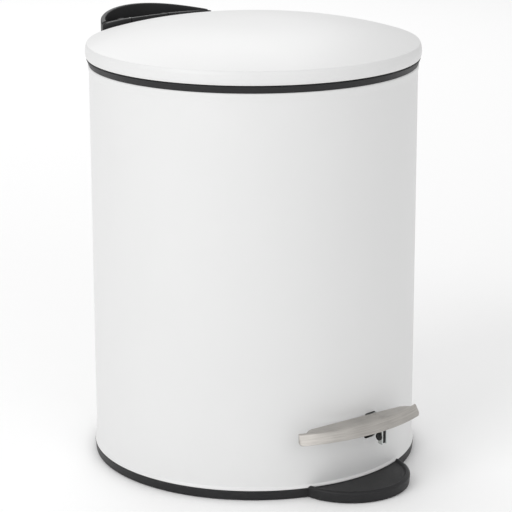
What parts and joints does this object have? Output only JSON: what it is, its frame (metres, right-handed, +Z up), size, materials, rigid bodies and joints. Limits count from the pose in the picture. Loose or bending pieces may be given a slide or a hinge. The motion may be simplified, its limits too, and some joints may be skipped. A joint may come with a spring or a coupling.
{
  "type": "pedal trash can",
  "caption": "Round steel pedal bin with a domed lid, foot lever, push rod, rear handle and lift-out bucket.",
  "frame": {"origin": "centre of the can's flat underside, on the shell's axis at floor level", "axes": "+Z up along the shell's axis; front with the pedal towards -Y, hinge and rear handle towards +Y, +X to the right seen from the front"},
  "size_m": [0.2064, 0.2545, 0.2731],
  "materials": {
    "white_coat": "satin-matt white powder coat on sheet steel",
    "black_plastic": "fine-grained black polypropylene",
    "rubber": "soft black rubber",
    "zinc_steel": "bright zinc plate",
    "stainless": "brushed along its length",
    "white_plastic": "natural white nylon",
    "bucket_plastic": "moulded dark grey plastic"
  },
  "bodies": {
    "can": {"body_shell": "white_coat", "top_rim": "black_plastic", "base_pan": "black_plastic", "rubber_pads": "rubber", "pivot_bracket": "zinc_steel", "bracket_screws": "zinc_steel", "pivot_pin": "zinc_steel", "pivot_clips": "zinc_steel", "rod_guides": "white_plastic", "hinge_housing": "black_plastic", "hinge_backplate": "zinc_steel", "housing_screws": "zinc_steel", "hinge_pin": "zinc_steel"},
    "pedal": {"pedal_lever": "zinc_steel", "pedal_plate": "stainless", "pedal_rivets": "stainless", "lever_bush": "white_plastic", "nose_bumper": "rubber"},
    "rod": {"push_rod": "zinc_steel", "rod_clip": "white_plastic"},
    "lid": {"lid_shell": "white_coat", "lid_ring": "white_plastic", "hinge_arm": "zinc_steel", "hinge_cap": "black_plastic", "arm_rivets": "zinc_steel", "lug_pin": "zinc_steel", "lid_buffers": "rubber"},
    "bucket": {"inner_bucket": "bucket_plastic"},
    "bail": {"bucket_handle": "zinc_steel", "handle_grip": "bucket_plastic"}
  },
  "joints": [
    {"name": "pedal_press", "type": "hinge", "parent": "can", "child": "pedal", "pos_m": [0.008, -0.062, 0.026], "axis": [1, 0, 0], "range_deg": [0, 10.1]},
    {"name": "rod_slide", "type": "slide", "parent": "can", "child": "rod", "axis": [0, 0, 1], "range_m": [0, 0.0275]},
    {"name": "lid_hinge", "type": "hinge", "parent": "can", "child": "lid", "pos_m": [0, 0.113, 0.258], "axis": [-1, 0, 0], "range_deg": [0, 75]},
    {"name": "bucket_lift", "type": "slide", "parent": "can", "child": "bucket", "axis": [0, 0, 1], "range_m": [0, 0.008]},
    {"name": "bail_swing", "type": "hinge", "parent": "bucket", "child": "bail", "pos_m": [0, 0, 0.2384], "axis": [-1, 0, 0], "range_deg": [0, 12]}
  ],
  "couplings": [
    {"joint": "rod_slide", "follows": "pedal_press", "m_per_rad": 0.15589},
    {"joint": "lid_hinge", "follows": "pedal_press", "ratio": 7.4232}
  ]
}
